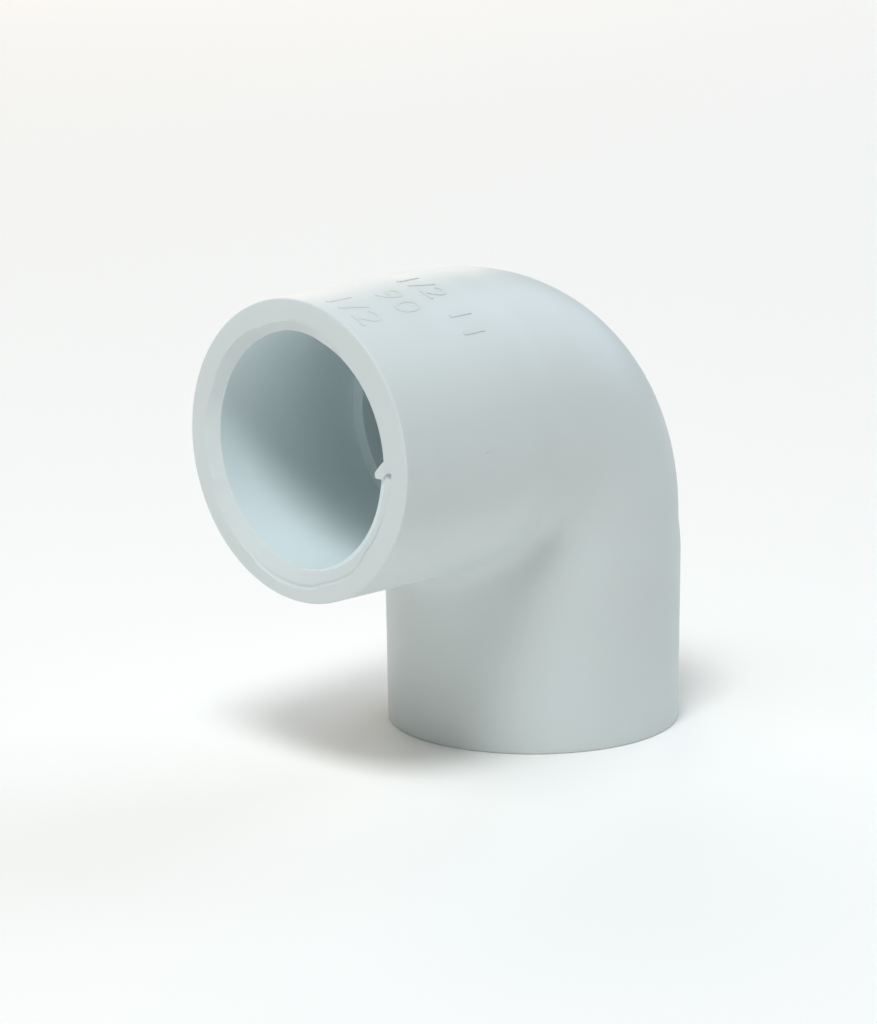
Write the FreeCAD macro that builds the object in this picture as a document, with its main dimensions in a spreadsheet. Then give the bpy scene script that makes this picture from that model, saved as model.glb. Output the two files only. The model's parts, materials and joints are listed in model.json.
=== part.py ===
import FreeCAD, Part
import os

import Sketcher

# A 90 degree socket elbow for 1/2 inch solvent-weld pipe, moulded in one piece of white PVC.
#
# Frame: the origin is the centre of the lower socket's face, which the fitting stands on.
# +Z runs up the lower socket's axis and the front socket's mouth faces -Y.
# The two axes cross at O, which is centre_to_face above the origin, and the fitting is its own
# mirror image in two planes: the X = 0 plane, and the mitre plane through O halfway between
# the two sockets. So one leg is drawn, upright, and the mitre plane gives the other.

SHEET = "Dimensions"
NODE = "elbow_body"

# alias, millimetres or degrees, meaning
DRIVING_DIMENSIONS = (
    ("centre_to_face", 30.16, "crossing of the axes to a socket's face, 1-3/16 inch"),
    ("centre_to_shoulder", 12.70, "crossing of the axes to the pipe stop, 1/2 inch"),
    ("socket_diameter", 21.38, "bore that takes the 21.336 mm pipe, at the mean of its taper"),
    ("lead_in_diameter", 23.20, "wide end of the bevel at the socket's mouth"),
    ("lead_in_depth", 0.45, "length of that bevel along the axis"),
    ("waterway_diameter", 18.90, "passage beyond the pipe stop"),
    ("hub_face_diameter", 27.00, "outside of the hub at its face, 1-1/16 inch"),
    ("hub_root_diameter", 27.50, "outside of the hub at its widest, level with the pipe stop"),
    ("centre_to_root", 12.50, "crossing of the axes to the hub's widest ring"),
    ("bend_diameter", 27.00, "outside of the bend"),
    ("bend_line_radius", 10.50, "radius of the bend's centre line"),
    ("rim_round", 0.35, "radius on the outer edge of each face"),
    ("half_bend_angle", 45.00, "turn of the bend from either leg to the mitre plane"),
)

# Heights above the origin, on the leg that stands on it.
AXES_CROSS = f"{SHEET}.centre_to_face"
BEND_STARTS = f"{SHEET}.centre_to_face - {SHEET}.bend_line_radius"
WIDEST_RING = f"{SHEET}.centre_to_face - {SHEET}.centre_to_root"
SHOULDER = f"{SHEET}.centre_to_face - {SHEET}.centre_to_shoulder"
LEAD_IN_ENDS = f"{SHEET}.lead_in_depth"

# Radii.
FACE_RADIUS = f"{SHEET}.hub_face_diameter / 2"
ROOT_RADIUS = f"{SHEET}.hub_root_diameter / 2"
BEND_RADIUS = f"{SHEET}.bend_diameter / 2"
LEAD_IN_RADIUS = f"{SHEET}.lead_in_diameter / 2"
SOCKET_RADIUS = f"{SHEET}.socket_diameter / 2"
WATERWAY_RADIUS = f"{SHEET}.waterway_diameter / 2"

ON_AXIS = None
ORIGIN_POINT = (-1, 1)
X_AXIS_ID = -1
Y_AXIS_ID = -2
START, END, CENTRE = 1, 2, 3

# Two places closer than this are the same, in millimetres.
SAME_PLACE = 0.01


def make_sheet(doc):
    """Put the driving dimensions in a spreadsheet, one row each."""
    sheet = doc.addObject("Spreadsheet::Sheet", SHEET)
    for row, (alias, size, meaning) in enumerate(DRIVING_DIMENSIONS, start=1):
        sheet.set(f"A{row}", alias)
        sheet.set(f"B{row}", str(size))
        sheet.setAlias(f"B{row}", alias)
        sheet.set(f"C{row}", meaning)
    doc.recompute()
    return sheet


def size_of(sheet, expression):
    """The plain number that an expression on the sheet comes to, or 0 for a place on an axis."""
    if expression is ON_AXIS:
        return 0.0
    return float(sheet.evalExpression(expression))


def origin_plane(body, role):
    """One of the body's own three origin planes."""
    return next(item for item in body.Origin.OriginFeatures if item.Role == role)


def new_sketch(body, name, role, height=ON_AXIS):
    """An empty sketch on one of the body's origin planes, lifted along its normal if asked."""
    sketch = body.newObject("Sketcher::SketchObject", name)
    sketch.AttachmentSupport = [(origin_plane(body, role), "")]
    sketch.MapMode = "FlatFace"
    if height is not ON_AXIS:
        sketch.setExpression("AttachmentOffset.Base.z", height)
    return sketch


def bind(sketch, constraint, name, expression):
    """Add a dimension to a sketch and tie it to the sheet."""
    index = sketch.addConstraint(constraint)
    sketch.renameConstraint(index, name)
    sketch.setExpression(f"Constraints.{name}", expression)


def pin_corner(sketch, sheet, edge, name, across, up):
    """Tie the start of an edge to its place across from and up from the sketch's origin."""
    if across is ON_AXIS:
        sketch.addConstraint(Sketcher.Constraint("PointOnObject", edge, START, Y_AXIS_ID))
    else:
        place = Sketcher.Constraint("DistanceX", *ORIGIN_POINT, edge, START, size_of(sheet, across))
        bind(sketch, place, f"{name}_across", across)
    if up is ON_AXIS:
        sketch.addConstraint(Sketcher.Constraint("PointOnObject", edge, START, X_AXIS_ID))
    else:
        place = Sketcher.Constraint("DistanceY", *ORIGIN_POINT, edge, START, size_of(sheet, up))
        bind(sketch, place, f"{name}_up", up)


def draw_outline(sketch, sheet, corners):
    """Draw a closed outline of straight edges from named corners: (name, across, up)."""
    points = [FreeCAD.Vector(size_of(sheet, across), size_of(sheet, up), 0)
              for _, across, up in corners]
    following = points[1:] + points[:1]
    for point, next_point in zip(points, following):
        sketch.addGeometry(Part.LineSegment(point, next_point), False)
    count = len(corners)
    for edge in range(count):
        joined = Sketcher.Constraint("Coincident", edge, END, (edge + 1) % count, START)
        sketch.addConstraint(joined)
    for edge, (name, across, up) in enumerate(corners):
        pin_corner(sketch, sheet, edge, name, across, up)


def add_turned(body, kind, name, sketch, axis, angle=None):
    """Turn a sketch about one of its own axes into a solid or a cut."""
    feature = body.newObject(kind, name)
    feature.Profile = sketch
    feature.ReferenceAxis = (sketch, [axis])
    feature.Angle = 360.0
    if angle is not None:
        feature.setExpression("Angle", angle)
    sketch.Visibility = False
    return feature


def add_hub(body, sheet):
    """The outside of the upright leg: face, drafted hub, and neck up to the bend."""
    sketch = new_sketch(body, "HubOutline", "XZ_Plane")
    draw_outline(sketch, sheet, (
        ("face_centre", ON_AXIS, ON_AXIS),
        ("face_edge", FACE_RADIUS, ON_AXIS),
        ("widest_edge", ROOT_RADIUS, WIDEST_RING),
        ("neck_edge", BEND_RADIUS, BEND_STARTS),
        ("neck_centre", ON_AXIS, BEND_STARTS),
    ))
    return add_turned(body, "PartDesign::Revolution", "Hub", sketch, "V_Axis")


def add_bend_axis(sketch, sheet):
    """A construction line in a sketch: the axis that the pipe line bends around."""
    reach = size_of(sheet, BEND_RADIUS)
    setback = size_of(sheet, f"{SHEET}.bend_line_radius")
    left, right = FreeCAD.Vector(-reach, -setback, 0), FreeCAD.Vector(reach, -setback, 0)
    line = sketch.addGeometry(Part.LineSegment(left, right), True)
    sketch.addConstraint(Sketcher.Constraint("Symmetric", line, START, line, END, Y_AXIS_ID))
    length = Sketcher.Constraint("DistanceX", line, START, line, END, 2 * reach)
    bind(sketch, length, "bend_axis_length", f"2 * {BEND_RADIUS}")
    drop = Sketcher.Constraint("DistanceY", line, START, *ORIGIN_POINT, setback)
    bind(sketch, drop, "bend_axis_setback", f"{SHEET}.bend_line_radius")
    return line


def add_heel(body, sheet):
    """Half of the bend's outside: the part of its round section outside the bend axis, turned."""
    sketch = new_sketch(body, "HeelSection", "XY_Plane", BEND_STARTS)
    radius = size_of(sheet, BEND_RADIUS)
    setback = size_of(sheet, f"{SHEET}.bend_line_radius")
    half_width = (radius ** 2 - setback ** 2) ** 0.5
    left, right = FreeCAD.Vector(-half_width, -setback, 0), FreeCAD.Vector(half_width, -setback, 0)
    outermost = FreeCAD.Vector(0, radius, 0)
    arc = sketch.addGeometry(Part.Arc(right, outermost, left), False)
    chord = sketch.addGeometry(Part.LineSegment(left, right), False)
    axis_line = add_bend_axis(sketch, sheet)
    sketch.addConstraint(Sketcher.Constraint("Coincident", arc, CENTRE, *ORIGIN_POINT))
    sketch.addConstraint(Sketcher.Constraint("Coincident", arc, START, chord, END))
    sketch.addConstraint(Sketcher.Constraint("Coincident", arc, END, chord, START))
    sketch.addConstraint(Sketcher.Constraint("PointOnObject", chord, START, axis_line))
    sketch.addConstraint(Sketcher.Constraint("PointOnObject", chord, END, axis_line))
    bind(sketch, Sketcher.Constraint("Radius", arc, radius), "bend_radius", BEND_RADIUS)
    return add_turned(body, "PartDesign::Revolution", "Heel", sketch, "Axis0",
                      f"{SHEET}.half_bend_angle")


def add_mitre_plane(body):
    """The plane through O that one leg is mirrored in to give the other."""
    plane = body.newObject("PartDesign::Plane", "MitrePlane")
    plane.AttachmentSupport = [(origin_plane(body, "XY_Plane"), "")]
    plane.MapMode = "FlatFace"
    tilt = FreeCAD.Rotation(FreeCAD.Vector(1, 0, 0), 45)
    plane.AttachmentOffset = FreeCAD.Placement(FreeCAD.Vector(0, 0, 0), tilt)
    plane.setExpression("AttachmentOffset.Base.z", AXES_CROSS)
    plane.Visibility = False
    return plane


def add_mirrored(body, name, originals, plane):
    """Mirror some of the body's features in a plane."""
    mirrored = body.newObject("PartDesign::Mirrored", name)
    mirrored.Originals = originals
    mirrored.MirrorPlane = (plane, [""])
    body.Tip = mirrored
    return mirrored


def add_socket(body, sheet):
    """The upright leg's hollow: bevelled mouth, pipe socket, flat pipe stop, and waterway."""
    sketch = new_sketch(body, "SocketOutline", "XZ_Plane")
    draw_outline(sketch, sheet, (
        ("mouth_centre", ON_AXIS, ON_AXIS),
        ("mouth_edge", LEAD_IN_RADIUS, ON_AXIS),
        ("socket_foot", SOCKET_RADIUS, LEAD_IN_ENDS),
        ("stop_edge", SOCKET_RADIUS, SHOULDER),
        ("waterway_edge", WATERWAY_RADIUS, SHOULDER),
        ("waterway_top", WATERWAY_RADIUS, BEND_STARTS),
        ("waterway_centre", ON_AXIS, BEND_STARTS),
    ))
    return add_turned(body, "PartDesign::Groove", "Socket", sketch, "V_Axis")


def add_waterway_bend(body, sheet):
    """Half of the waterway's bend: its round section turned about the bend axis."""
    sketch = new_sketch(body, "WaterwaySection", "XY_Plane", BEND_STARTS)
    radius = size_of(sheet, WATERWAY_RADIUS)
    centre, normal = FreeCAD.Vector(0, 0, 0), FreeCAD.Vector(0, 0, 1)
    circle = sketch.addGeometry(Part.Circle(centre, normal, radius), False)
    add_bend_axis(sketch, sheet)
    sketch.addConstraint(Sketcher.Constraint("Coincident", circle, CENTRE, *ORIGIN_POINT))
    bind(sketch, Sketcher.Constraint("Radius", circle, radius), "waterway_radius", WATERWAY_RADIUS)
    return add_turned(body, "PartDesign::Groove", "WaterwayBend", sketch, "Axis0",
                      f"{SHEET}.half_bend_angle")


def round_rims(body, sheet, base):
    """Round the outer edge of both faces."""
    rim_radius = size_of(sheet, FACE_RADIUS)
    face_reach = size_of(sheet, AXES_CROSS)
    rims = []
    for number, edge in enumerate(base.Shape.Edges, start=1):
        if edge.Degenerated or not isinstance(edge.Curve, Part.Circle):
            continue
        centre = edge.Curve.Center
        on_a_face = min(abs(centre.z), abs(centre.y + face_reach)) < SAME_PLACE
        if on_a_face and abs(edge.Curve.Radius - rim_radius) < SAME_PLACE:
            rims.append(f"Edge{number}")
    rounded = body.newObject("PartDesign::Fillet", "RimRounds")
    rounded.Base = (base, rims)
    rounded.setExpression("Radius", f"{SHEET}.rim_round")
    body.Tip = rounded
    return rounded, len(rims)


def volume_after(doc, feature):
    """Recompute, and give the volume that the body has once this feature is in."""
    doc.recompute()
    return feature.Shape.Volume


def build_elbow(doc, sheet):
    """The whole moulding, as one body."""
    body = doc.addObject("PartDesign::Body", "ElbowBody")
    body.Label = NODE
    doc.recompute()

    hub = add_hub(body, sheet)
    hub_volume = volume_after(doc, hub)
    heel = add_heel(body, sheet)
    leg_volume = volume_after(doc, heel)
    mitre_plane = add_mitre_plane(body)
    doc.recompute()
    outside = add_mirrored(body, "BothLegs", [hub, heel], mitre_plane)
    outside_volume = volume_after(doc, outside)

    socket = add_socket(body, sheet)
    socketed_volume = volume_after(doc, socket)
    waterway = add_waterway_bend(body, sheet)
    pierced_volume = volume_after(doc, waterway)
    hollow = add_mirrored(body, "BothSockets", [socket, waterway], mitre_plane)
    hollow_volume = volume_after(doc, hollow)

    rounded, rim_count = round_rims(body, sheet, hollow)
    finished_volume = volume_after(doc, rounded)

    falling = (outside_volume, socketed_volume, pierced_volume, hollow_volume, finished_volume)
    if not hub_volume < leg_volume < outside_volume:
        raise RuntimeError("a leg's outside added nothing")
    if sorted(falling, reverse=True) != list(falling) or len(set(falling)) != len(falling):
        raise RuntimeError(f"a cut removed nothing: {falling}")
    if rim_count != 2:
        raise RuntimeError(f"found {rim_count} rims to round, not 2")
    return body


def check_document(doc, bodies):
    """Stop if any object failed to recompute, or any body isn't one valid solid."""
    for item in doc.Objects:
        if "Invalid" in item.State or "Error" in item.State:
            raise RuntimeError(f"{item.Name} failed: {item.State}")
    for body in bodies:
        shape = body.Shape
        if shape.isNull() or not shape.isValid() or len(shape.Solids) != 1:
            raise RuntimeError(f"{body.Label} is not one valid solid")


def main():
    doc = FreeCAD.newDocument("SocketElbow")
    sheet = make_sheet(doc)
    bodies = [build_elbow(doc, sheet)]
    doc.recompute()
    check_document(doc, bodies)
    os.makedirs("parts", exist_ok=True)
    for body in bodies:
        body.Shape.exportStep(f"parts/{body.Label}.step")
        box = body.Shape.BoundBox
        print(body.Label, round(body.Shape.Volume, 1), "mm3",
              [round(value, 2) for value in (box.XMin, box.XMax, box.YMin, box.YMax, box.ZMin, box.ZMax)])


main()
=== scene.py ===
"""A white PVC socket elbow for half-inch pipe, standing on its lower socket.

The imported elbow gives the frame: metres, +Z up, the lower socket's axis on Z and the front
socket's mouth facing -Y. The moulding's visible skin is modelled here in millimetres, in that
frame, and brought to metres when each piece is finished.
"""

import json
import logging
import math
from collections.abc import Callable
from dataclasses import dataclass
from enum import Enum

import bmesh
import bpy
from mathutils import Matrix, Vector


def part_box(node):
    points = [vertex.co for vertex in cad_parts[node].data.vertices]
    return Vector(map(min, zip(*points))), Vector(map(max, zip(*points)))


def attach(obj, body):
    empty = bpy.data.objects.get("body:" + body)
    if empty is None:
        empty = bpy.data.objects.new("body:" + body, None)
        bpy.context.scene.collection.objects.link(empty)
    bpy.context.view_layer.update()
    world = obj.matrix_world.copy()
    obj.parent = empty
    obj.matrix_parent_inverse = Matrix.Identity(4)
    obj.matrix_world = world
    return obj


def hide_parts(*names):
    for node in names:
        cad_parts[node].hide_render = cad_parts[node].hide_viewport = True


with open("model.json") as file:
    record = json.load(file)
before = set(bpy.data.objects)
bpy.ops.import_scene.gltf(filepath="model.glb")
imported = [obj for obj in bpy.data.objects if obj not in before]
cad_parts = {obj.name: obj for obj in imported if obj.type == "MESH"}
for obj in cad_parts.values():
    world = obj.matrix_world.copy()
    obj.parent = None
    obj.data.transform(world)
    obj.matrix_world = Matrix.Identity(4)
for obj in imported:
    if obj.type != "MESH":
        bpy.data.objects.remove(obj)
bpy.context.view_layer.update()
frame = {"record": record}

LOG = logging.getLogger("elbow")
BODY = "root"
NODE = "elbow_body"
MM = 0.001
SAME = 0.001  # millimetres within which two measures count as one
ON_PLANE = 0.0001  # millimetres within which a point lies on a cutting plane


class Surface(Enum):
    """The skin's two kinds of surface, by the number of their material."""

    OUTSIDE = 0
    BORE = 1


@dataclass(frozen=True)
class PvcFinish:
    """Rigid white PVC as it leaves the mould: satin, faintly blue-green, a little translucent."""

    name: str = "white_pvc"
    colour: tuple[float, float, float] = (0.696, 0.750, 0.744)
    mottle_colour: tuple[float, float, float] = (0.674, 0.728, 0.719)
    mottle_size_mm: float = 9.0
    mottle_detail: float = 3.0
    roughness: float = 0.42
    roughness_spread: float = 0.06
    grain_size_mm: float = 0.35
    grain_height_mm: float = 0.006
    grain_detail: float = 2.0
    flow_size_mm: float = 5.0
    flow_height_mm: float = 0.05
    flow_detail: float = 1.0
    specular: float = 0.45
    refraction: float = 1.52
    depth_of_light_mm: float = 1.2
    translucency: float = 0.12

    def build(self) -> bpy.types.Material:
        """Make the node material.

        Returns:
            The material, ready to go on any piece of the moulding.
        """
        material = bpy.data.materials.new(self.name)
        material.use_nodes = True
        tree = material.node_tree
        shader = tree.nodes["Principled BSDF"]
        shader.inputs["Specular IOR Level"].default_value = self.specular
        shader.inputs["IOR"].default_value = self.refraction
        shader.inputs["Subsurface Weight"].default_value = self.translucency
        shader.inputs["Subsurface Radius"].default_value = (1.0, 1.0, 1.0)
        shader.inputs["Subsurface Scale"].default_value = self.depth_of_light_mm * MM
        place = tree.nodes.new("ShaderNodeTexCoord").outputs["Object"]
        self._add_mottle(tree, place, shader)
        self._add_relief(tree, place, shader)
        return material

    def _noise(self, tree: bpy.types.NodeTree, place: bpy.types.NodeSocket, size_mm: float,
               detail: float) -> bpy.types.NodeSocket:
        """Add a noise pattern.

        Args:
            tree: The material's nodes.
            place: The coordinates that the pattern reads.
            size_mm: About how far across its features are.
            detail: How many finer layers it carries.

        Returns:
            The pattern's value, from 0 to 1.
        """
        noise = tree.nodes.new("ShaderNodeTexNoise")
        noise.inputs["Scale"].default_value = 1.0 / (size_mm * MM)
        noise.inputs["Detail"].default_value = detail
        tree.links.new(place, noise.inputs["Vector"])
        return noise.outputs["Fac"]

    def _spread(self, tree: bpy.types.NodeTree, source: bpy.types.NodeSocket, low: float,
                high: float) -> bpy.types.NodeSocket:
        """Spread the middle half of a pattern over a range.

        Args:
            tree: The material's nodes.
            source: The pattern's value.
            low: What its lower quarter becomes.
            high: What its upper quarter becomes.

        Returns:
            The value in the new range.
        """
        span = tree.nodes.new("ShaderNodeMapRange")
        span.inputs["From Min"].default_value = 0.25
        span.inputs["From Max"].default_value = 0.75
        span.inputs["To Min"].default_value = low
        span.inputs["To Max"].default_value = high
        tree.links.new(source, span.inputs["Value"])
        return span.outputs["Result"]

    def _add_mottle(self, tree: bpy.types.NodeTree, place: bpy.types.NodeSocket,
                    shader: bpy.types.Node) -> None:
        """Give the colour and the roughness their slow, cloudy variation.

        Args:
            tree: The material's nodes.
            place: The coordinates that the cloud reads.
            shader: The shader that gets the colour and the roughness.
        """
        cloud = self._noise(tree, place, self.mottle_size_mm, self.mottle_detail)
        blend = tree.nodes.new("ShaderNodeMix")
        blend.data_type = "RGBA"
        blend.inputs["A"].default_value = (*self.mottle_colour, 1.0)
        blend.inputs["B"].default_value = (*self.colour, 1.0)
        tree.links.new(self._spread(tree, cloud, 0.0, 1.0), blend.inputs["Factor"])
        tree.links.new(blend.outputs["Result"], shader.inputs["Base Color"])
        low = self.roughness - self.roughness_spread
        high = self.roughness + self.roughness_spread
        tree.links.new(self._spread(tree, cloud, high, low), shader.inputs["Roughness"])

    def _add_relief(self, tree: bpy.types.NodeTree, place: bpy.types.NodeSocket,
                    shader: bpy.types.Node) -> None:
        """Give the surface the mould's fine grain over a faint long waviness.

        Args:
            tree: The material's nodes.
            place: The coordinates that the patterns read.
            shader: The shader that gets the relief.
        """
        layers = ((self.flow_size_mm, self.flow_height_mm, self.flow_detail),
                  (self.grain_size_mm, self.grain_height_mm, self.grain_detail))
        below = None
        for size_mm, height_mm, detail in layers:
            bump = tree.nodes.new("ShaderNodeBump")
            bump.inputs["Distance"].default_value = height_mm * MM
            tree.links.new(self._noise(tree, place, size_mm, detail), bump.inputs["Height"])
            if below is not None:
                tree.links.new(below, bump.inputs["Normal"])
            below = bump.outputs["Normal"]
        tree.links.new(below, shader.inputs["Normal"])


# The bore's copy of the PVC. Its base colour is made lighter and bluer than the outside's as
# painted light, standing in for the brighter, bluer light inside the sockets and the waterway.
# Its roughness and waviness are lower.
BORE_PAINTED_LIGHT_FINISH = PvcFinish(name="white_pvc_bore", colour=(0.765, 0.862, 0.877),
                        mottle_colour=(0.750, 0.842, 0.857), roughness=0.34,
                        roughness_spread=0.04, flow_height_mm=0.02)


@dataclass(frozen=True)
class SweepFinish:
    """The studio sweep that the fitting stands on: matt, near white."""

    name: str = "studio_sweep"
    colour: tuple[float, float, float] = (0.97, 0.965, 0.94)
    roughness: float = 0.9

    def build(self) -> bpy.types.Material:
        """Make the floor's material.

        Returns:
            The material.
        """
        material = bpy.data.materials.new(self.name)
        material.use_nodes = True
        shader = material.node_tree.nodes["Principled BSDF"]
        shader.inputs["Base Color"].default_value = (*self.colour, 1.0)
        shader.inputs["Roughness"].default_value = self.roughness
        return material


def smooth_step(share: float) -> float:
    """Ease a share from 0 to 1, level at both ends."""
    share = min(max(share, 0.0), 1.0)
    return share * share * (3.0 - 2.0 * share)


def turn_between(angle_deg: float, other_deg: float) -> float:
    """The turn from one angle to another, from -180 to 180 degrees."""
    return (angle_deg - other_deg + 180.0) % 360.0 - 180.0


def all_parts(mesh: bmesh.types.BMesh) -> list[
        bmesh.types.BMVert | bmesh.types.BMEdge | bmesh.types.BMFace]:
    """Every vertex, edge and face of a mesh, as the operators take them."""
    return mesh.verts[:] + mesh.edges[:] + mesh.faces[:]


def finish_piece(mesh: bmesh.types.BMesh, name: str, *materials: bpy.types.Material,
                 crease_deg: float = 32.0) -> bpy.types.Object:
    """Turn a mesh in millimetres into a finished piece of the elbow.

    Args:
        mesh: The mesh, in the elbow's frame, in millimetres. It is freed.
        name: The piece's name.
        materials: What it is made of, in the order of its faces' material numbers.
        crease_deg: Edges that turn by more than this stay sharp in the shading.

    Returns:
        The piece, riding on the elbow's only body.
    """
    bmesh.ops.scale(mesh, vec=(MM, MM, MM), verts=mesh.verts[:])
    for face in mesh.faces:
        face.smooth = True
    for edge in mesh.edges:
        edge.smooth = edge.calc_face_angle(0.0) < math.radians(crease_deg)
    data = bpy.data.meshes.new(name)
    open_edges = sum(1 for edge in mesh.edges if len(edge.link_faces) != 2)
    mesh.to_mesh(data)
    mesh.free()
    for material in materials:
        data.materials.append(material)
    piece = bpy.data.objects.new(name, data)
    bpy.context.scene.collection.objects.link(piece)
    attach(piece, BODY)
    LOG.info("%s: %d vertices, %d faces, %d open edges", name, len(data.vertices),
             len(data.polygons), open_edges)
    return piece


@dataclass(frozen=True)
class KnifeStroke:
    """One stroke of the knife that cleaned a mouth's inner edge.

    Angles go round the mouth as seen from in front, from the right-hand side, upwards.
    """

    start_deg: float
    end_deg: float
    width_mm: float
    stops_dead: bool = False

    def width_at(self, angle_deg: float) -> float:
        """The width that the stroke cuts at an angle.

        Args:
            angle_deg: The place on the mouth.

        Returns:
            Millimetres: nothing outside the stroke, and the full width in its middle.
        """
        middle = 0.5 * (self.start_deg + self.end_deg)
        half = 0.5 * (self.end_deg - self.start_deg)
        along = turn_between(angle_deg, middle) / half
        if self.stops_dead and along > 0.0:
            return self.width_mm if along < 1.0 else 0.0
        return self.width_mm * max(0.0, 1.0 - along ** 4)


@dataclass(frozen=True)
class HandTrimmedMouth:
    """The front mouth's inner edge, cleaned by hand in overlapping strokes of a knife.

    The last stroke stops dead at a ledge. Under the ledge the knife turned a burr into the
    bore, dug in with its point, and pressed a crease along the outside of its cut. Between
    the last stroke and the first one the edge keeps the narrow bevel of the mould.
    """

    centre: Vector
    socket_radius: float
    lead_in_radius: float
    lead_in_depth: float
    flat_edge_radius: float
    strokes: tuple[KnifeStroke, ...] = (
        KnifeStroke(58, 126, 0.86),
        KnifeStroke(104, 170, 1.00),
        KnifeStroke(150, 212, 1.10),
        KnifeStroke(196, 250, 1.46),
        KnifeStroke(230, 292, 1.70),
        KnifeStroke(266, 322, 1.32),
        KnifeStroke(298, 359.4, 0.82, stops_dead=True),
        KnifeStroke(347, 359.4, 1.00, stops_dead=True),
    )
    waver: tuple[tuple[float, float, float], ...] = ((0.015, 17, 0), (0.01, 31, 40))
    cut_fade_deg: float = 60.0
    full_depth: float = 0.85
    ledge_depth_share: float = 0.30
    swell_deg: float = 110.0
    left_width: float = 0.16
    left_depth: float = 0.11
    ledge_deg: float = -0.6
    ledge_reach_deg: float = 0.75
    ledge_slope_deg: float = 0.07
    crease_middle_deg: float = 298.0
    crease_reach_deg: float = 44.0
    crease_fade: float = 1.6
    crease_share: float = 0.10
    crease_depth: float = 0.17
    dig_radius: float = 11.30
    dig_width: float = 0.24
    dig_reach_deg: float = 3.0
    dig_depth: float = 0.42
    burr: float = 0.42
    burr_from_deg: float = 100.0
    burr_fade_deg: float = 60.0

    @property
    def reach(self) -> float:
        """How deep in the bore the knife's work is felt."""
        return 3.0 * self.lead_in_depth

    def _settle(self, angle_deg: float) -> float:
        """Draw the columns either side of the ledge close to it, so that it is crisp.

        Args:
            angle_deg: A column's angle.

        Returns:
            The angle that the column moves to.
        """
        away = angle_deg - self.ledge_deg
        if abs(away) > self.ledge_reach_deg:
            return angle_deg
        return self.ledge_deg + math.copysign(self.ledge_slope_deg, away)

    def _below_ledge(self, angle_deg: float) -> float:
        """How far round from the ledge an angle is, going down and round, in degrees."""
        return (self.ledge_deg - angle_deg) % 360.0

    def _cut_width(self, angle_deg: float) -> float:
        """The bevel's width, with the knife's waver.

        Args:
            angle_deg: The place on the mouth.

        Returns:
            Millimetres.
        """
        waver = 1.0 + sum(size * math.sin(math.radians(waves * angle_deg + shift))
                          for size, waves, shift in self.waver)
        width = max(stroke.width_at(angle_deg) for stroke in self.strokes)
        return max(width * waver, self.left_width)

    def _cut_depth(self, angle_deg: float) -> float:
        """The bevel's depth at the bore: it grows from the ledge and fades out at the start.

        Args:
            angle_deg: The place on the mouth.

        Returns:
            Millimetres.
        """
        below = self._below_ledge(angle_deg)
        whole = self.ledge_deg - self.strokes[0].start_deg + 360.0
        fade = smooth_step((whole - below) / self.cut_fade_deg)
        swell = self.ledge_depth_share + (1.0 - self.ledge_depth_share) * smooth_step(
            below / self.swell_deg)
        return max(self.full_depth * fade * swell, self.left_depth)

    def _edge_radius(self, angle_deg: float) -> float:
        """The bore's radius at its edge, with the burr under the ledge.

        Args:
            angle_deg: The place on the mouth.

        Returns:
            Millimetres.
        """
        left = self.burr_from_deg - self._below_ledge(angle_deg)
        return self.socket_radius - self.burr * smooth_step(left / self.burr_fade_deg)

    def _crease(self, share: float, angle_deg: float) -> float:
        """The depth of the crease where the knife's heel pressed into the face.

        Args:
            share: The place across the bevel, from 0 at the face to 1 at the bore.
            angle_deg: The place round the mouth.

        Returns:
            Millimetres.
        """
        if share < SAME:
            return 0.0
        groove = math.exp(-((share - self.crease_share) / self.crease_share) ** 2)
        away = abs(turn_between(angle_deg, self.crease_middle_deg))
        return groove * self.crease_depth * smooth_step(
            self.crease_fade - away / self.crease_reach_deg)

    def _dig(self, radius: float, angle_deg: float) -> float:
        """The depth of the small dig that the knife's point left under the ledge.

        Args:
            radius: The distance from the mouth's axis.
            angle_deg: The place round the mouth, from -180 to 180.

        Returns:
            Millimetres.
        """
        below = self.ledge_deg - angle_deg
        if below < 0.0:
            return 0.0
        return self.dig_depth * math.exp(-((radius - self.dig_radius) / self.dig_width) ** 2
                                         - (below / self.dig_reach_deg) ** 2)

    def _moved(self, radius: float, depth: float, angle_deg: float) -> tuple[float, float]:
        """Where the knife leaves a point of the plain mouth.

        Args:
            radius: The point's distance from the mouth's axis.
            depth: Its depth behind the mouth's face.
            angle_deg: Its place round the mouth.

        Returns:
            The new radius and depth.
        """
        outer = self.socket_radius + self._cut_width(angle_deg)
        inner, cut_depth = self._edge_radius(angle_deg), self._cut_depth(angle_deg)
        if depth < SAME:
            share = (radius - self.lead_in_radius) / (self.flat_edge_radius
                                                      - self.lead_in_radius)
            return outer + (self.flat_edge_radius - outer) * share, depth
        if depth < self.lead_in_depth + SAME:
            share = depth / self.lead_in_depth
            return (outer + (inner - outer) * share,
                    cut_depth * share + self._crease(share, angle_deg))
        share = (depth - self.lead_in_depth) / (self.reach - self.lead_in_depth)
        return (inner + (self.socket_radius - inner) * share,
                cut_depth + (self.reach - cut_depth) * share)

    def trim(self, mesh: bmesh.types.BMesh) -> None:
        """Move the mouth's plain bevel to where the knife cut it.

        Args:
            mesh: The skin, with an even bevel round the mouth.
        """
        for vert in mesh.verts:
            depth = vert.co.y - self.centre.y
            x, z = vert.co.x, vert.co.z - self.centre.z
            radius = math.hypot(x, z)
            if depth > self.reach - SAME or radius > self.flat_edge_radius - SAME:
                continue
            angle_deg = self._settle(math.degrees(math.atan2(z, x)))
            radius, depth = self._moved(radius, depth, angle_deg)
            depth += self._dig(radius, angle_deg)
            angle = math.radians(angle_deg)
            vert.co = self.centre + Vector((radius * math.cos(angle), depth,
                                            radius * math.sin(angle)))


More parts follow.
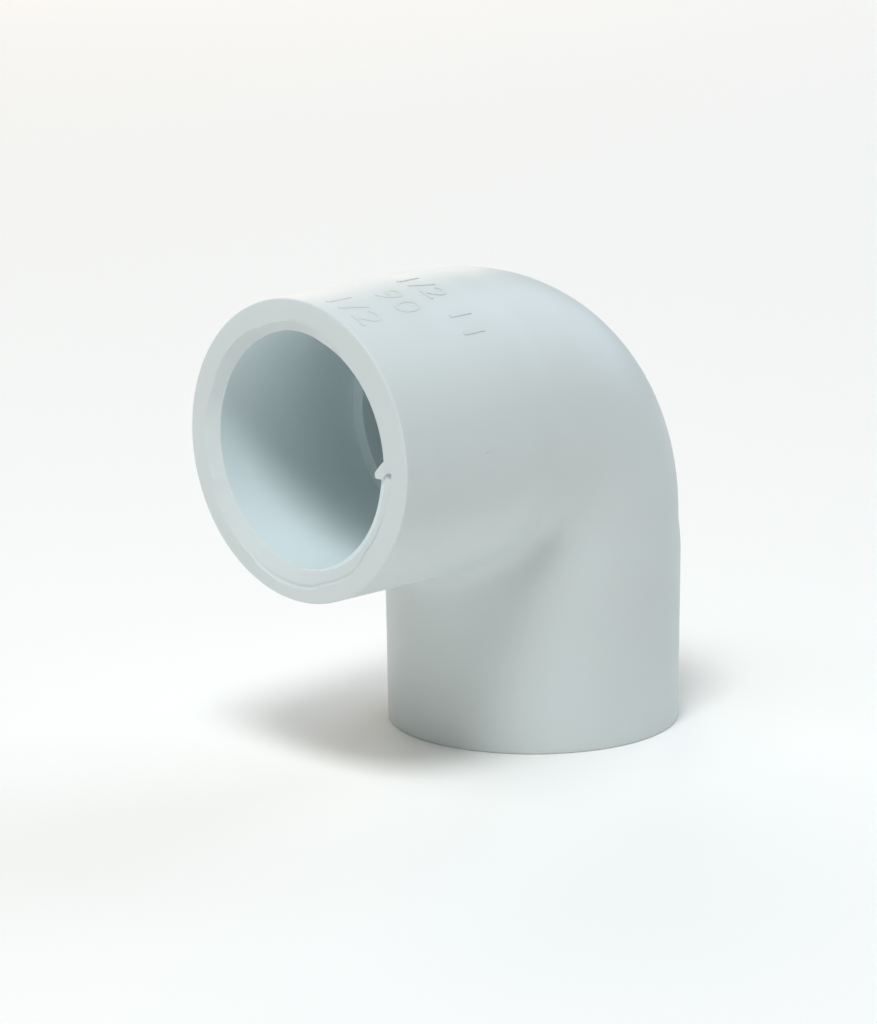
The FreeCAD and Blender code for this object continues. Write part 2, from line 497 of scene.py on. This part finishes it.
@dataclass(frozen=True)
class NibStation:
    """The nib's outline at one distance from the front mouth's axis, in millimetres.

    Top and bottom are above and below the axis's level. Front and back are measured from the
    mouth's face into the socket.
    """

    radius: float
    top: float
    bottom: float
    front: float
    back: float

    @property
    def centre(self) -> Vector:
        """The middle of the outline, with the mouth's centre as the origin."""
        return Vector((self.radius, 0.5 * (self.front + self.back),
                       0.5 * (self.top + self.bottom)))

    @property
    def half(self) -> Vector:
        """The outline's half sizes."""
        return Vector((1.0, 0.5 * (self.back - self.front), 0.5 * (self.top - self.bottom)))


@dataclass(frozen=True)
class GateNib:
    """The nib of gate waste inside the front mouth, and the ledge that runs out from it."""

    mouth: Vector
    stations: tuple[NibStation, ...] = (
        NibStation(9.63, -0.36, -0.66, 0.04, 0.36),
        NibStation(9.72, -0.24, -0.82, 0.00, 0.46),
        NibStation(9.95, -0.01, -0.85, -0.01, 0.56),
        NibStation(10.25, 0.30, -0.84, -0.015, 0.66),
        NibStation(10.60, 0.66, -0.80, -0.015, 0.80),
        NibStation(10.76, 0.80, -0.52, -0.005, 0.80),
        NibStation(11.00, 0.84, -0.26, 0.015, 0.60),
        NibStation(11.35, 0.60, -0.19, 0.02, 0.40),
        NibStation(11.80, 0.40, -0.17, 0.02, 0.30),
        NibStation(12.30, 0.20, -0.15, 0.02, 0.20),
    )
    rounded_stations: int = 2
    edge_round: float = 0.04

    def _grow(self, mesh: bmesh.types.BMesh, end: bmesh.types.BMFace, last: NibStation,
              station: NibStation) -> bmesh.types.BMFace:
        """Draw the nib on from one station to the next.

        Args:
            mesh: The nib so far.
            end: Its end face, at the last station. It is kept.
            last: The last station.
            station: The next station.

        Returns:
            The new end face.
        """
        grown = bmesh.ops.extrude_face_region(mesh, geom=[end], use_keep_orig=True)["geom"]
        verts = [item for item in grown if isinstance(item, bmesh.types.BMVert)]
        ratio = Vector((1.0, station.half.y / last.half.y, station.half.z / last.half.z))
        bmesh.ops.scale(mesh, vec=ratio, verts=verts,
                        space=Matrix.Translation(-(self.mouth + last.centre)))
        bmesh.ops.translate(mesh, vec=station.centre - last.centre, verts=verts)
        return next(item for item in grown if isinstance(item, bmesh.types.BMFace))

    def build(self) -> bmesh.types.BMesh:
        """Draw the nib's outline from its tip, through each station, to the ledge's end.

        Returns:
            One closed mesh in millimetres.
        """
        mesh = bmesh.new()
        first = self.stations[0]
        place = Matrix.Translation(self.mouth + first.centre) @ Matrix.Diagonal(
            (*first.half, 1.0)) @ Matrix.Rotation(math.radians(90), 4, "Y")
        square = Matrix.Rotation(math.radians(45), 4, "Z")
        made = bmesh.ops.create_circle(mesh, cap_ends=True, radius=math.sqrt(2.0), segments=4,
                                       matrix=place @ square)
        ends = [made["verts"][0].link_faces[0]]
        for last, station in zip(self.stations, self.stations[1:]):
            ends.append(self._grow(mesh, ends[-1], last, station))
        bmesh.ops.delete(mesh, geom=ends[1:-1], context="FACES_ONLY")
        bmesh.ops.recalc_face_normals(mesh, faces=mesh.faces[:])
        tip = [edge for edge in mesh.edges if min(
            vert.co.x for vert in edge.verts) < self.stations[self.rounded_stations].radius]
        bmesh.ops.bevel(mesh, geom=tip, offset=self.edge_round, affect="EDGES", segments=2,
                        profile=0.5, material=-1)
        return mesh


@dataclass(frozen=True)
class HubMark:
    """A plain raised mark on the front hub: what it says and where its right end stands."""

    text: str
    from_centre: float
    end_deg: float
    height: float
    raised: float
    name: str


@dataclass(frozen=True)
class RaisedMarks:
    """Raised size numerals on top of the front hub, read from the mouth."""

    crossing: Vector
    hub_radius: Callable[[float], float]
    marks: tuple[HubMark, ...] = (
        HubMark("1/2", 28.4, 60.0, 3.0, 0.035, "size_mark_front"),
        HubMark("90", 23.2, 62.0, 3.0, 0.035, "size_mark_middle"),
        HubMark("1/2 11", 18.6, 43.5, 2.7, 0.065, "size_mark_back"),
    )
    sunk: float = 0.20
    strip: float = 0.35
    size_per_height: float = 1.38
    thinned_per_height: float = 0.006
    spacing: float = 1.15
    weld: float = 0.0005

    def _flat(self, mark: HubMark) -> bmesh.types.BMesh:
        """Set one mark flat in the XY plane, its right end at the origin.

        Args:
            mark: The mark.

        Returns:
            A closed slab in millimetres.
        """
        curve = bpy.data.curves.new(mark.name, "FONT")
        curve.body = mark.text
        curve.align_x = "RIGHT"
        curve.size = mark.height * self.size_per_height
        curve.offset = -self.thinned_per_height * mark.height
        curve.space_character = self.spacing
        curve.resolution_u = 4
        curve.extrude = 0.5 * (mark.raised + self.sunk)
        setting = bpy.data.objects.new(mark.name, curve)
        bpy.context.scene.collection.objects.link(setting)
        depsgraph = bpy.context.evaluated_depsgraph_get()
        flat = bpy.data.meshes.new_from_object(setting.evaluated_get(depsgraph))
        mesh = bmesh.new()
        mesh.from_mesh(flat)
        bpy.data.objects.remove(setting)
        bpy.data.curves.remove(curve)
        bpy.data.meshes.remove(flat)
        bmesh.ops.remove_doubles(mesh, verts=mesh.verts[:], dist=self.weld)
        return mesh

    def build(self, mark: HubMark) -> bmesh.types.BMesh:
        """Wrap one mark round the hub.

        Args:
            mark: The mark.

        Returns:
            One closed mesh in millimetres.
        """
        mesh = self._flat(mark)
        reach = min(vert.co.x for vert in mesh.verts)
        for step in range(1, int(-reach / self.strip) + 1):
            bmesh.ops.bisect_plane(mesh, geom=all_parts(mesh), dist=ON_PLANE,
                                   plane_co=(-step * self.strip, 0, 0), plane_no=(1, 0, 0))
        middle = 0.5 * (mark.raised - self.sunk)
        for vert in mesh.verts:
            from_centre = mark.from_centre - vert.co.y
            base = self.hub_radius(from_centre)
            angle = math.radians(mark.end_deg) - vert.co.x / base
            radius = base + middle + vert.co.z
            vert.co = self.crossing + Vector((radius * math.cos(angle), -from_centre,
                                              radius * math.sin(angle)))
        bmesh.ops.recalc_face_normals(mesh, faces=mesh.faces[:])
        return mesh


@dataclass(frozen=True)
class WitnessMark:
    """A low scar where the fitting was broken from its runner or met a mould pin."""

    name: str
    from_centre: float
    angle_deg: float
    length: float
    width: float
    height: float

    def build(self, crossing: Vector, hub_radius: Callable[[float], float]) -> bmesh.types.BMesh:
        """Model the scar as a low mound on the front hub's side.

        Args:
            crossing: Where the legs' axes cross.
            hub_radius: The hub's radius by distance from there.

        Returns:
            One closed mesh in millimetres.
        """
        mesh = bmesh.new()
        angle = math.radians(self.angle_deg)
        radius = hub_radius(self.from_centre)
        place = Matrix.Translation(crossing + Vector((
            radius * math.cos(angle), -self.from_centre, radius * math.sin(angle))))
        turn = Matrix.Rotation(-angle, 4, "Y")
        size = Matrix.Diagonal((self.height, 0.5 * self.length, 0.5 * self.width, 1.0))
        bmesh.ops.create_icosphere(mesh, subdivisions=3, radius=1.0, matrix=place @ turn @ size)
        return mesh


WITNESS_MARKS = (
    WitnessMark("scar_by_mouth", 29.50, 0.3, 0.70, 0.26, 0.035),
    WitnessMark("scar_on_hub", 20.1, 1.8, 0.90, 0.20, 0.04),
)


@dataclass(frozen=True)
class EasingPass:
    """One pass of smoothing along the crotch: how far it reaches, and how often it is done."""

    reach_share: float
    above: float
    rounds: int


@dataclass
class ElbowSkin:
    """The moulding's whole surface: two hubs, the bend, both sockets and the waterway.

    One upright leg is turned about Z, half of the bend is turned about the bend axis, and the
    mitre plane mirrors them into the front leg. Sizes are in millimetres.
    """

    centre_to_face: float
    socket_radius: float
    hub_root_radius: float
    hub_face_radius: float = 13.58
    bend_radius: float = 13.50
    bend_line_radius: float = 10.50
    widest_from_centre: float = 12.50
    neck_length: float = 3.6
    stop_from_centre: float = 12.70
    waterway_radius: float = 9.45
    lead_in_radius: float = 11.70
    lead_in_depth: float = 0.60
    rim_round: float = 0.16
    rim_segments: int = 4
    around: int = 288
    hub_rings: int = 36
    bend_steps: int = 22
    leg_weld: float = 0.002
    bend_weld: float = 0.01
    mirror_weld: float = 0.02
    bore_margin: float = 0.03
    crotch_seam: float = 1.0
    crotch_weld: float = 0.12
    crotch_above: float = 3.6
    crotch_reach: float = 3.0
    crotch_skin: float = 1.5
    crotch_easing: tuple[EasingPass, ...] = (
        EasingPass(1.0, 3.6, 14), EasingPass(0.6, 2.4, 24), EasingPass(0.3, 1.2, 12))

    @property
    def bend_start(self) -> float:
        """Height at which the upright leg begins to bend."""
        return self.centre_to_face - self.bend_line_radius

    @property
    def crossing(self) -> Vector:
        """The point where the two legs' axes cross."""
        return Vector((0.0, 0.0, self.centre_to_face))

    @property
    def mouth_centre(self) -> Vector:
        """The centre of the front mouth."""
        return Vector((0.0, -self.centre_to_face, self.centre_to_face))

    @property
    def bend_axis_point(self) -> Vector:
        """A point on the axis, parallel to X, that the pipe line bends around."""
        return Vector((0.0, -self.bend_line_radius, self.bend_start))

    def hub_radius(self, from_centre: float) -> float:
        """A hub's outer radius at a distance from the crossing.

        Args:
            from_centre: The distance along the hub's axis.

        Returns:
            The radius: it swells slowly from the face, then eases down into the bend.
        """
        share = (self.centre_to_face - from_centre) / (self.centre_to_face
                                                       - self.widest_from_centre)
        straight = self.hub_face_radius + (self.hub_root_radius - self.hub_face_radius) * share
        ease = smooth_step((from_centre - self.bend_line_radius) / self.neck_length)
        return self.bend_radius + (straight - self.bend_radius) * ease

    def _profile(self) -> list[tuple[float, float, int]]:
        """The upright leg's section, from the outside of the bend to the waterway.

        Returns:
            Corners as radius, height, and the number of cuts in the edge that follows.
        """
        stop = self.centre_to_face - self.stop_from_centre
        hub = []
        for ring in range(self.hub_rings + 1):
            height = self.bend_start * (1.0 - ring / self.hub_rings)
            hub.append((self.hub_radius(self.centre_to_face - height), height, 0))
        hub[-1] = (self.hub_face_radius, 0.0, 4)
        return hub + [
            (self.lead_in_radius, 0.0, 14),
            (self.socket_radius, self.lead_in_depth, 3),
            (self.socket_radius, 3 * self.lead_in_depth, 12),
            (self.socket_radius, stop, 2),
            (self.waterway_radius, stop, 2),
            (self.waterway_radius, self.bend_start, 0),
        ]

    def front_mouth(self) -> HandTrimmedMouth:
        """Size the front mouth's inner edge from the skin.

        Returns:
            The edge, as the knife left it.
        """
        return HandTrimmedMouth(
            centre=self.mouth_centre, socket_radius=self.socket_radius,
            lead_in_radius=self.lead_in_radius, lead_in_depth=self.lead_in_depth,
            flat_edge_radius=self.hub_face_radius - self.rim_round)

    def _turn_leg(self, mesh: bmesh.types.BMesh) -> None:
        """Turn the section about Z into the upright leg, and round its outer rim.

        Args:
            mesh: An empty mesh.
        """
        corners = self._profile()
        line = []
        for (radius, height, cuts), (next_radius, next_height, _) in zip(corners, corners[1:]):
            for step in range(cuts + 1):
                share = step / (cuts + 1)
                line.append(mesh.verts.new((radius + (next_radius - radius) * share, 0.0,
                                            height + (next_height - height) * share)))
        line.append(mesh.verts.new((corners[-1][0], 0.0, corners[-1][1])))
        for start, end in zip(line, line[1:]):
            mesh.edges.new((start, end))
        bmesh.ops.spin(mesh, geom=mesh.verts[:] + mesh.edges[:], cent=(0, 0, 0), axis=(0, 0, 1),
                       dvec=(0, 0, 0), angle=math.tau, steps=self.around, use_merge=True,
                       use_duplicate=False)
        bmesh.ops.remove_doubles(mesh, verts=mesh.verts[:], dist=self.leg_weld)
        rim = [edge for edge in mesh.edges if all(
            abs(vert.co.z) < SAME and abs(vert.co.xy.length - self.hub_face_radius) < SAME
            for vert in edge.verts)]
        bmesh.ops.bevel(mesh, geom=rim, offset=self.rim_round, offset_type="OFFSET",
                        affect="EDGES", segments=self.rim_segments, profile=0.5,
                        material=-1)

    def _cut_at_mitre(self, mesh: bmesh.types.BMesh) -> None:
        """Cut away the upright leg beyond the mitre plane, which leaves the crotch's edge.

        Args:
            mesh: The upright leg.
        """
        bmesh.ops.bisect_plane(mesh, geom=all_parts(mesh), dist=ON_PLANE, plane_co=self.crossing,
                               plane_no=Vector((0.0, -1.0, 1.0)).normalized(),
                               clear_outer=True, clear_inner=False)

    def _turn_bend(self, mesh: bmesh.types.BMesh) -> None:
        """Turn the leg's open ends, outside and inside, about the bend axis to the mitre.

        Args:
            mesh: The upright leg, cut at the mitre.
        """
        ends = [edge for edge in mesh.edges if edge.is_boundary and all(
            abs(vert.co.z - self.bend_start) < SAME for vert in edge.verts)]
        verts = list({vert for edge in ends for vert in edge.verts})
        bmesh.ops.spin(mesh, geom=verts + ends, cent=self.bend_axis_point, axis=(1, 0, 0),
                       dvec=(0, 0, 0), angle=math.radians(45), steps=self.bend_steps,
                       use_merge=False, use_duplicate=False)
        bmesh.ops.remove_doubles(mesh, verts=mesh.verts[:], dist=self.bend_weld)

    def _mirror_leg(self, mesh: bmesh.types.BMesh) -> None:
        """Mirror the upright half in the mitre plane, and join the halves.

        Args:
            mesh: The upright leg and its half of the bend.
        """
        to_plane = Matrix.Rotation(math.radians(-45), 4, "X") @ Matrix.Translation(-self.crossing)
        bmesh.ops.mirror(mesh, geom=all_parts(mesh), matrix=to_plane, merge_dist=-1.0, axis="Z")
        bmesh.ops.remove_doubles(mesh, verts=mesh.verts[:], dist=self.mirror_weld)
        bmesh.ops.recalc_face_normals(mesh, faces=mesh.faces[:])

    def _near_crotch(self, vert: bmesh.types.BMVert, reach: float, above: float) -> bool:
        """Whether a vertex is near the edge where the two hubs meet, or near its ends.

        Args:
            vert: The vertex.
            reach: How far from the mitre plane it may be.
            above: How far beyond the edge's ends, towards the crossing, it may be.

        Returns:
            True if it is that near, on the outside.
        """
        out = vert.co - self.crossing
        from_mitre = abs(out.z - out.y) / math.sqrt(2.0)
        along_mitre = -(out.y + out.z) / math.sqrt(2.0)
        end_of_edge = self.bend_line_radius * math.sqrt(2.0)
        from_axis = math.hypot(out.x, min(abs(out.y), abs(out.z)))
        outside = from_axis > self.bend_radius - self.crotch_skin
        return outside and from_mitre < reach and along_mitre > end_of_edge - above

    def _soften_crotch(self, mesh: bmesh.types.BMesh) -> None:
        """Ease the sharp edge between the hubs into a soft valley.

        Args:
            mesh: The whole skin, its slivers along the edge not yet welded.
        """
        seam = [vert for vert in mesh.verts if self._near_crotch(
            vert, self.crotch_seam, self.crotch_above)]
        bmesh.ops.remove_doubles(mesh, verts=seam, dist=self.crotch_weld)
        for easing in self.crotch_easing:
            reach = easing.reach_share * self.crotch_reach
            near = [vert for vert in mesh.verts if self._near_crotch(vert, reach, easing.above)]
            for _ in range(easing.rounds):
                bmesh.ops.smooth_vert(mesh, verts=near, factor=0.5, use_axis_x=True,
                                      use_axis_y=True, use_axis_z=True)

    def _from_pipe_line(self, point: Vector) -> float:
        """How far a point is from the line that runs up one leg, round the bend and out.

        Args:
            point: The point.

        Returns:
            Millimetres.
        """
        out = point - self.crossing
        reach = -self.bend_line_radius
        if out.z > reach and out.y > reach:
            bend = math.hypot(out.y - reach, out.z - reach) - self.bend_line_radius
            return math.hypot(out.x, bend)
        return math.hypot(out.x, out.y if out.z <= out.y else out.z)

    def _sort_faces(self, mesh: bmesh.types.BMesh) -> None:
        """Tell the sockets' and the waterway's faces from the outside's: the bore's faces get the
        second material, the copy of the PVC whose lighter, bluer base colour is painted light for
        the light inside the bore.

        Args:
            mesh: The finished skin.
        """
        edge_of_bore = self.socket_radius + self.bore_margin
        for face in mesh.faces:
            inside = self._from_pipe_line(face.calc_center_median()) < edge_of_bore
            face.material_index = (Surface.BORE if inside else Surface.OUTSIDE).value

    def build(self) -> bmesh.types.BMesh:
        """Model the skin.

        Returns:
            One closed mesh in millimetres.
        """
        mesh = bmesh.new()
        self._turn_leg(mesh)
        self._cut_at_mitre(mesh)
        self._turn_bend(mesh)
        self._mirror_leg(mesh)
        self._soften_crotch(mesh)
        self.front_mouth().trim(mesh)
        self._sort_faces(mesh)
        return mesh


def direction(azimuth_deg: float, elevation_deg: float) -> Vector:
    """The way from the fitting to something at an azimuth and an elevation.

    Args:
        azimuth_deg: 0 is in front, towards -Y, and 90 is at +X.
        elevation_deg: The angle above the horizon.

    Returns:
        A unit vector.
    """
    azimuth, elevation = math.radians(azimuth_deg), math.radians(elevation_deg)
    return Vector((math.sin(azimuth) * math.cos(elevation),
                   -math.cos(azimuth) * math.cos(elevation), math.sin(elevation)))


@dataclass(frozen=True)
class SoftLight:
    """A square soft light: where it hangs about the fitting, its size, strength and colour."""

    name: str
    azimuth_deg: float
    elevation_deg: float
    size: float
    watts: float
    colour: tuple[float, float, float]
    distance: float = 1000.0
    target: tuple[float, float, float] = (0.0, -8.0, 20.0)

    def hang(self) -> None:
        """Hang the light so that it faces the fitting."""
        data = bpy.data.lights.new(self.name, "AREA")
        data.shape = "SQUARE"
        data.size = self.size * MM
        data.energy = self.watts
        data.color = self.colour
        lamp = bpy.data.objects.new(self.name, data)
        back = direction(self.azimuth_deg, self.elevation_deg)
        lamp.rotation_euler = back.to_track_quat("Z", "Y").to_euler()
        lamp.location = (Vector(self.target) + back * self.distance) * MM
        bpy.context.scene.collection.objects.link(lamp)


@dataclass
class Studio:
    """A near-white sweep, soft light from above, and the camera. Sizes are in millimetres."""

    aim: Vector
    azimuth_deg: float = 44.44
    elevation_deg: float = 13.57
    roll_deg: float = -0.416
    distance: float = 414.9
    aim_left: float = 8.66
    aim_below: float = 10.46
    lens: float = 158.2
    sensor: float = 36.0
    floor_size: float = 6000.0
    air_colour: tuple[float, float, float] = (1.0, 1.0, 1.0)
    air_strength: float = 0.22
    lights: tuple[SoftLight, ...] = (
        SoftLight("key", 31.0, 62.0, 290.0, 5.15, (0.93, 0.97, 0.99)),
        SoftLight("wide", 0.0, 60.0, 650.0, 2.1, (0.93, 0.97, 0.99)),
        SoftLight("back", 180.0, 32.0, 800.0, 3.3, (0.74, 0.88, 1.0)),
        SoftLight("side", 240.0, 22.0, 700.0, 2.8, (1.0, 0.86, 0.76)),
    )

    def _axes(self) -> tuple[Vector, Vector, Vector]:
        """The camera's axes.

        Returns:
            Its right, up and backward directions.
        """
        back = direction(self.azimuth_deg, self.elevation_deg)
        level = Vector((0.0, 0.0, 1.0)).cross(back).normalized()
        turn = Matrix.Rotation(math.radians(self.roll_deg), 3, back)
        right = turn @ level
        return right, back.cross(right), back

    def add_camera(self) -> None:
        """Place the camera and make it the scene's own."""
        right, up, back = self._axes()
        place = self.aim - right * self.aim_left - up * self.aim_below + back * self.distance
        data = bpy.data.cameras.new("camera")
        data.lens = self.lens
        data.sensor_width = self.sensor
        data.clip_start = 0.01
        data.clip_end = 50.0
        camera = bpy.data.objects.new("camera", data)
        turn = Matrix((right, up, back)).transposed().to_4x4()
        camera.matrix_world = Matrix.Translation(place * MM) @ turn
        bpy.context.scene.collection.objects.link(camera)
        bpy.context.scene.camera = camera

    def add_air(self) -> None:
        """Fill the room with even light."""
        world = bpy.data.worlds.new("studio_air")
        world.use_nodes = True
        background = world.node_tree.nodes["Background"]
        background.inputs["Color"].default_value = (*self.air_colour, 1.0)
        background.inputs["Strength"].default_value = self.air_strength
        bpy.context.scene.world = world

    def add_floor(self) -> None:
        """Lay the sweep that the fitting stands on."""
        mesh = bmesh.new()
        bmesh.ops.create_grid(mesh, x_segments=8, y_segments=8, size=self.floor_size * MM / 2)
        data = bpy.data.meshes.new("sweep")
        mesh.to_mesh(data)
        mesh.free()
        data.materials.append(SweepFinish().build())
        floor = bpy.data.objects.new("sweep", data)
        bpy.context.scene.collection.objects.link(floor)

    def build(self) -> None:
        """Set up the whole studio."""
        self.add_camera()
        self.add_floor()
        self.add_air()
        for light in self.lights:
            light.hang()
        bpy.context.scene.view_settings.view_transform = "Standard"


def socket_radius_mm() -> float:
    """The sockets' bore radius, from the record's own mounts."""
    mounts = frame["record"]["mounts"]
    return next(mount["dims"]["r_mm"] for mount in mounts if mount["kind"] == "bore")


def main() -> None:
    """Build the elbow's pieces in order, then the studio; each piece's vertex, face and open-edge
    counts are logged as it is finished.
    """
    logging.basicConfig(level=logging.INFO, format="%(name)s: %(message)s")
    low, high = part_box(NODE)
    finish = PvcFinish().build()
    skin = ElbowSkin(centre_to_face=-low.y / MM, socket_radius=socket_radius_mm(),
                     hub_root_radius=high.x / MM)
    # The bore's faces take the copy of the PVC that is made lighter and bluer as painted light.
    piece = finish_piece(skin.build(), "elbow_skin", finish, BORE_PAINTED_LIGHT_FINISH.build())
    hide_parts(NODE)
    finish_piece(GateNib(skin.mouth_centre).build(), "gate_nib", finish, crease_deg=15.0)
    marks = RaisedMarks(skin.crossing, skin.hub_radius)
    for mark in marks.marks:
        finish_piece(marks.build(mark), mark.name, finish)
    for scar in WITNESS_MARKS:
        finish_piece(scar.build(skin.crossing, skin.hub_radius), scar.name, finish)
    Studio(aim=skin.crossing).build()


if __name__ == "__main__":
    main()
